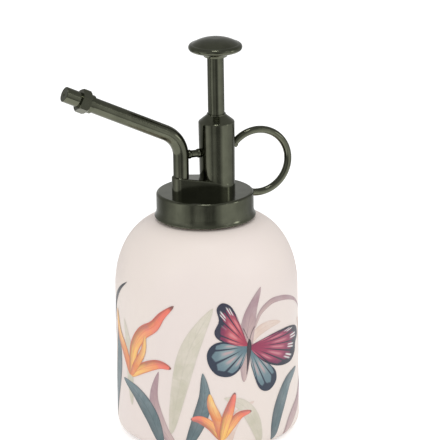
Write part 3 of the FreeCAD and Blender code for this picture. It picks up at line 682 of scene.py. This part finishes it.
# ---------------------------------------------------------------- lights and floor
# Name, place, size and power; all of them point at the middle of the object.
LAMPS = (("key", (0.55, -0.75, 0.6), (0.22, 0.3), 1.1),
         ("fill", (-0.8, -0.4, 0.5), (0.25, 0.4), 0.8),
         ("overhead", (-0.08, -0.22, 0.95), (0.24, 0.08), 0.7))
LAMP_AIM = Vector((0, 0, 0.1))


def add_lamp(name, place, size, power):
    data = bpy.data.lights.new(name, "AREA")
    data.shape = "RECTANGLE"
    data.size, data.size_y = size
    data.energy = power
    lamp = bpy.data.objects.new(name, data)
    bpy.context.collection.objects.link(lamp)
    lamp.location = place
    lamp.rotation_mode = "QUATERNION"
    lamp.rotation_quaternion = (LAMP_AIM - Vector(place)).to_track_quat("-Z", "Y")


WORLD_LIGHT = 0.82
OVERHEAD = 0.36                # what polished tops mirror


def add_world():
    """Even white light; polished surfaces see a dimmer ceiling, and the camera sees white."""
    world = bpy.data.worlds.new("studio")
    bpy.context.scene.world = world
    world.use_nodes = True
    tree = world.node_tree
    tree.nodes.clear()
    out = tree.nodes.new("ShaderNodeOutputWorld")
    path = tree.nodes.new("ShaderNodeLightPath")
    shades = []
    for strength in (WORLD_LIGHT, OVERHEAD, 1.0):
        shade = tree.nodes.new("ShaderNodeBackground")
        shade.inputs["Color"].default_value = (1, 1, 1, 1)
        shade.inputs["Strength"].default_value = strength
        shades.append(shade.outputs[0])
    base = shades[0]
    for ray, shade in (("Is Glossy Ray", shades[1]), ("Is Camera Ray", shades[2])):
        choose = tree.nodes.new("ShaderNodeMixShader")
        tree.links.new(path.outputs[ray], choose.inputs[0])
        tree.links.new(base, choose.inputs[1])
        tree.links.new(shade, choose.inputs[2])
        base = choose.outputs[0]
    tree.links.new(base, out.inputs["Surface"])


FLOOR_GLOW = 0.35              # lifts the floor to white for the camera; the shadow stays
FLOOR_SIZE, FLOOR_DROP = 6.0, 0.2 * MM


def add_floor():
    bpy.ops.mesh.primitive_plane_add(size=FLOOR_SIZE, location=(0, 0, -FLOOR_DROP))
    floor = bpy.context.object
    floor.name = "floor"
    n = Nodes("floor")
    n.colour(n.mix(n.noise(6, 3), srgb(249, 249, 249), srgb(252, 252, 252)))
    n.roughness(0.9)
    n.plain(Emission_Color=(1, 1, 1, 1))
    path = n.tree.nodes.new("ShaderNodeLightPath")
    seen = n.math("MAXIMUM", path.outputs["Is Camera Ray"], path.outputs["Is Glossy Ray"])
    seen = n.math("MAXIMUM", seen, path.outputs["Is Transmission Ray"])
    n.link(n.math("MULTIPLY", seen, FLOOR_GLOW), n.shader.inputs["Emission Strength"])
    floor.data.materials.append(n.material)


TENT_R, TENT_H = 0.26, 0.5
# How bright the tent is round the object: share of a turn from +X through +Y, and level.
TENT_BANDS = ((0.0, 0.62), (0.07, 0.36), (0.14, 0.5), (0.22, 0.7), (0.3, 0.46), (0.38, 0.34), (0.46, 0.62),
              (0.53, 0.95), (0.585, 0.6), (0.61, 0.24), (0.645, 0.5), (0.675, 0.42), (0.7, 0.2), (0.75, 0.22),
              (0.78, 0.6), (0.81, 1.0), (0.88, 0.95), (0.94, 0.8), (1.0, 0.62))
TENT_FADE = (0.08, 0.3)        # heights between which the bands give way to the ceiling's level
PANEL_TURN, PANEL_Z, PANEL_GAIN = 0.905, 0.178, 4.0    # one small bright panel above the table
PANEL_TURN_EDGE = (0.012, 0.02)        # half widths where it starts to fade and has gone
PANEL_Z_EDGE = (0.02, 0.035)


def add_tent():
    """Soft panels round the table that only polished surfaces mirror."""
    mesh = bpy.data.meshes.new("tent")
    sides = 96
    verts = [(TENT_R * math.cos(math.tau * k / sides), TENT_R * math.sin(math.tau * k / sides), z)
             for z in (0, TENT_H) for k in range(sides)]
    walls = [(k, (k + 1) % sides, sides + (k + 1) % sides, sides + k) for k in range(sides)]
    mesh.from_pydata(verts, [], walls)
    tent = bpy.data.objects.new("tent", mesh)
    bpy.context.collection.objects.link(tent)
    n = Nodes("tent")
    parts = n.tree.nodes.new("ShaderNodeSeparateXYZ")
    n.link(n.place(), parts.inputs[0])
    turn = n.math("DIVIDE", n.math("ARCTAN2", parts.outputs[1], parts.outputs[0]), math.tau)
    turn = n.math("FRACT", n.math("ADD", turn, 1.0))
    bands = n.tree.nodes.new("ShaderNodeValToRGB")
    bands.color_ramp.interpolation = "EASE"
    stops = bands.color_ramp.elements
    for share, level in TENT_BANDS[1:-1]:
        stops.new(share).color = (level, level, level, 1)
    for stop, (share, level) in ((stops[0], TENT_BANDS[0]), (stops[len(stops) - 1], TENT_BANDS[-1])):
        stop.color = (level, level, level, 1)
    n.link(turn, bands.inputs[0])
    glow = n.tree.nodes.new("ShaderNodeEmission")
    height = parts.outputs[2]
    ceiling = (OVERHEAD, OVERHEAD, OVERHEAD, 1)
    n.link(n.mix(n.ramp(height, *TENT_FADE), bands.outputs[0], ceiling), glow.inputs["Color"])
    panel = n.math("MULTIPLY", n.ramp(n.apart(turn, PANEL_TURN), *PANEL_TURN_EDGE, 1.0, 0.0),
                   n.ramp(n.apart(height, PANEL_Z), *PANEL_Z_EDGE, 1.0, 0.0))
    n.link(n.math("ADD", 1.0, n.math("MULTIPLY", panel, PANEL_GAIN)), glow.inputs["Strength"])
    n.link(glow.outputs[0], n.out.inputs["Surface"])
    n.tree.nodes.remove(n.shader)
    mesh.materials.append(n.material)
    tent.visible_camera = tent.visible_diffuse = tent.visible_shadow = tent.visible_transmission = False


# ---------------------------------------------------------------- build
add_camera()
add_world()
add_floor()
add_tent()
dress_nodes()
print_pattern()
add_spring()
add_brazing()
for lamp_facts in LAMPS:
    add_lamp(*lamp_facts)

bpy.context.scene.view_settings.view_transform = "Standard"
